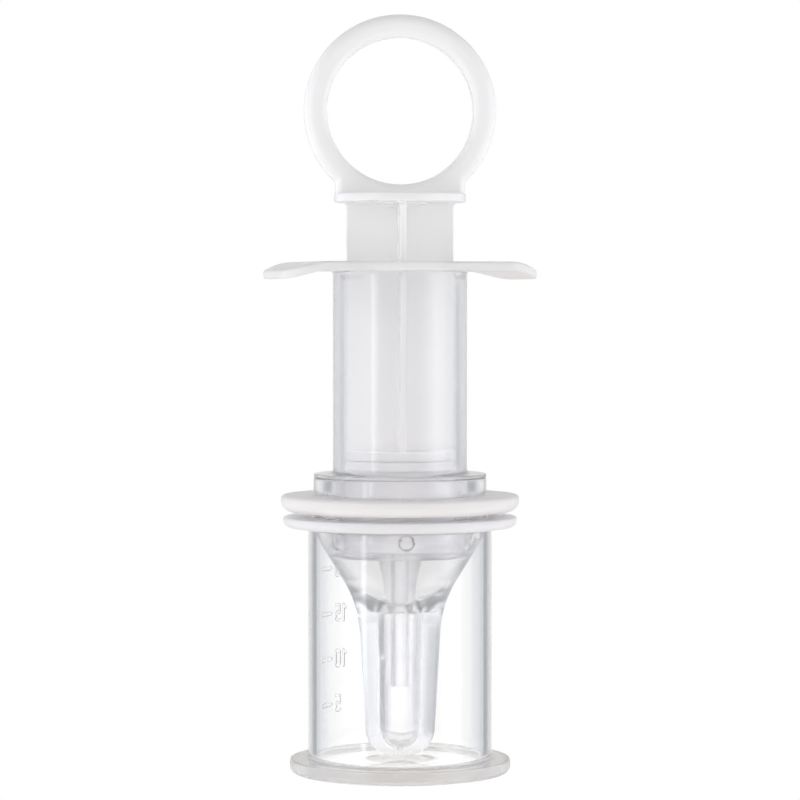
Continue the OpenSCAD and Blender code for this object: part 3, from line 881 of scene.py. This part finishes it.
# %% Cards
def angled(first, last):
    """Where a card starts and ends in sideways, from its angles off straight on, in degrees."""
    return math.sin(math.radians(first)), math.sin(math.radians(last))


WALL_CARD_NEAR, WALL_CARD_FAR, WALL_CARD_END = angled(2, 18), angled(21, 33), angled(50, 58)
DEEP_CARD, DEEP_SHADE, DEEP_RIGHT = angled(12, 45), 0.75, 0.25
CARD_FADE, CARD_TOP, CARD_FOOT = (0.0, 0.14), (0.14, 0.25), (-0.6, -0.15)
PAST_WALLS = (4.5, 5.5)
BACK_CARD, FRONT_CARD = 0.22, 0.5

wall_card = number_node(
    tent, "ADD", ramp_node(tent, sideways, *WALL_CARD_NEAR, 0, 0.5),
    ramp_node(tent, sideways, *WALL_CARD_FAR, 0, 0.5))
wall_card = number_node(tent, "MULTIPLY", wall_card, ramp_node(tent, sideways, *WALL_CARD_END, 1, 0))
deep_card = number_node(
    tent, "MULTIPLY", ramp_node(tent, sideways, *DEEP_CARD, 0, DEEP_SHADE),
    ramp_node(tent, x, -0.1, 0.1, 1, DEEP_RIGHT))
card = blend_node(tent, ramp_node(tent, skins, *PAST_WALLS, 0, 1), wall_card, deep_card)
for span, low, high in ((CARD_FADE, 1, 0.3), (CARD_TOP, 1, 0), (CARD_FOOT, 0, 1)):
    card = number_node(tent, "MULTIPLY", card, ramp_node(tent, z, *span, low, high))
card = blend_node(tent, is_mirrored, card, 0.0)
card_light = ramp_node(tent, y, -0.3, 0.3, FRONT_CARD, BACK_CARD)
print("wall card ends", round(math.degrees(math.asin(WALL_CARD_END[1]))), "degrees off the middle")

# %% [markdown]
# ### Light for each kind of ray
# Silicone round plastic round silicone loses a little light at every skin, so the tent repays
# what comes through many. The front half of the tent is brighter for light on its way to the
# milky parts inside, which has crossed a scattering surface first, than for a plain view through.

# %% Light
BACK_LIGHT, GROUND_LIGHT = 1.0, 1.0
FRONT_LIGHT, FRONT_DEEP, FRONT_SEEN_DEEP = 1.85, 4.2, 3.2
IN_NIPPLE, IN_NOZZLE = (4.5, 8.5), (8.5, 12.5)
NIPPLE_GAIN, NOZZLE_GAIN = 1.05, 1.35
SCATTER_LEFT, SCATTER_RIGHT, SCATTER_TOP = 1.29, 1.15, 0.28
MIRROR_FRONT, MIRROR_SIDE = 0.8, 2.2

seen = ramp_node(tent, skins, *IN_NIPPLE, BACK_LIGHT, FRONT_SEEN_DEEP)
scattered_before = ramp_node(tent, path.outputs["Diffuse Depth"], 0.2, 0.8, 0, 1)
front = blend_node(tent, scattered_before, seen, ramp_node(tent, skins, *IN_NIPPLE, FRONT_LIGHT, FRONT_DEEP))
bent = blend_node(tent, ramp_node(tent, y, -0.4, 0.1, 1, 0), BACK_LIGHT, front)
bent = blend_node(tent, ramp_node(tent, z, -0.35, -0.17, 1, 0), bent, GROUND_LIGHT)
for span, gain in ((IN_NIPPLE, NIPPLE_GAIN), (IN_NOZZLE, NOZZLE_GAIN)):
    bent = number_node(tent, "MULTIPLY", bent, ramp_node(tent, skins, *span, 1, gain))
scattered = number_node(
    tent, "MULTIPLY", ramp_node(tent, x, -1, 1, SCATTER_LEFT, SCATTER_RIGHT),
    ramp_node(tent, z, 0.1, 0.9, 1, SCATTER_TOP))
mirrored = ramp_node(tent, off_middle, 0.45, 0.9, MIRROR_FRONT, MIRROR_SIDE)
light = blend_node(tent, is_mirrored, scattered, mirrored)
light = blend_node(tent, is_bent, light, bent)
light = blend_node(tent, card, light, card_light)
tent.links.new(blend_node(tent, is_camera, light, 1.0), background.inputs["Strength"])
print("tent light:", len(tent.nodes), "nodes")

# %% Tent colours
# The tent is warm in the middle and cool at its sides, and the cards are cooler still. The camera
# itself sees plain white.
WHITE = (1, 1, 1, 1)
MIDDLE_TINT, SIDE_TINT, CARD_TINT = (1.0, 0.985, 0.97, 1), (0.945, 0.965, 1.0, 1), (0.90, 0.94, 1.0, 1)

hue = blend_node(tent, ramp_node(tent, off_middle, 0.2, 0.65, 0, 1), MIDDLE_TINT, SIDE_TINT, "RGBA")
hue = blend_node(tent, card, hue, CARD_TINT, "RGBA")
tent.links.new(blend_node(tent, is_camera, hue, WHITE, "RGBA"), background.inputs["Color"])


# %% Lamps
def soft_box(name, place, aim, width, height, power):
    """A rectangular lamp at place, in metres, that faces the point aim."""
    data = bpy.data.lights.new(name, "AREA")
    data.shape = "RECTANGLE"
    data.size, data.size_y = width, height
    data.energy = power
    lamp = bpy.data.objects.new(name, data)
    lamp.location = place
    lamp.rotation_euler = (Vector(aim) - Vector(place)).to_track_quat("-Z", "Y").to_euler()
    lamp.visible_diffuse = False
    bpy.context.scene.collection.objects.link(lamp)
    return lamp


soft_box("strip_left", (-0.60, -0.56, 0.10), (0, 0, 0.07), 0.09, 0.6, 0.45)
soft_box("wall_right", (0.75, -0.26, 0.10), (0, 0, 0.07), 0.35, 0.6, 0.5)

# %% [markdown]
# ## The floor
# A round pale floor lights the object from below and takes no shadow. Rays that bend or mirror go
# through it to the tent, so it leaves no edge inside the clear parts.

# %% Floor
FLOOR_R, FLOOR_TOP, FLOOR_LOW = 140.0, -0.02, -1.0
FLOOR_WARM, FLOOR_LIGHT = (1.0, 0.965, 0.93, 1), 1.0

floor_profile = outline(
    straight((0, FLOOR_TOP), (FLOOR_R, FLOOR_TOP), 3), straight((FLOOR_R, FLOOR_LOW), (0, FLOOR_LOW), 2))
floor = make_mesh("floor", *skin(turned(floor_profile, full_turn(96))))
floor_material, floor_tree, floor_shader = new_material("pale_floor")
floor_shader.inputs["Base Color"].default_value = (0, 0, 0, 1)
floor_shader.inputs["Specular IOR Level"].default_value = 0
floor_path = floor_tree.nodes.new("ShaderNodeLightPath")
by_camera = floor_path.outputs["Is Camera Ray"]
glow = blend_node(floor_tree, by_camera, FLOOR_WARM, WHITE, "RGBA")
floor_tree.links.new(glow, floor_shader.inputs["Emission Color"])
floor_shader.inputs["Emission Strength"].default_value = FLOOR_LIGHT
through = floor_tree.nodes.new("ShaderNodeBsdfTransparent")
floor_mix = floor_tree.nodes.new("ShaderNodeMixShader")
floor_out = next(n for n in floor_tree.nodes if n.type == "OUTPUT_MATERIAL")
goes_on = number_node(
    floor_tree, "MAXIMUM", floor_path.outputs["Is Glossy Ray"], floor_path.outputs["Is Transmission Ray"])
floor_tree.links.new(goes_on, floor_mix.inputs["Fac"])
floor_tree.links.new(floor_shader.outputs["BSDF"], floor_mix.inputs[1])
floor_tree.links.new(through.outputs["BSDF"], floor_mix.inputs[2])
floor_tree.links.new(floor_mix.outputs["Shader"], floor_out.inputs["Surface"])
floor.data.materials.append(floor_material)

# %% [markdown]
# ## Light paths
# Light crosses a dozen skins on its way through the cup, the nipple and the nozzle, so the
# renderer has to follow it through many bounces. The Standard view keeps white at white.

# %% Render limits
scene = bpy.context.scene
scene.view_settings.view_transform = "Standard"
scene.cycles.max_bounces = 64
scene.cycles.transmission_bounces = 48
scene.cycles.glossy_bounces = 24
scene.cycles.diffuse_bounces = 20
scene.cycles.transparent_max_bounces = 16
scene.cycles.blur_glossy = 0.2
scene.cycles.sample_clamp_indirect = 8
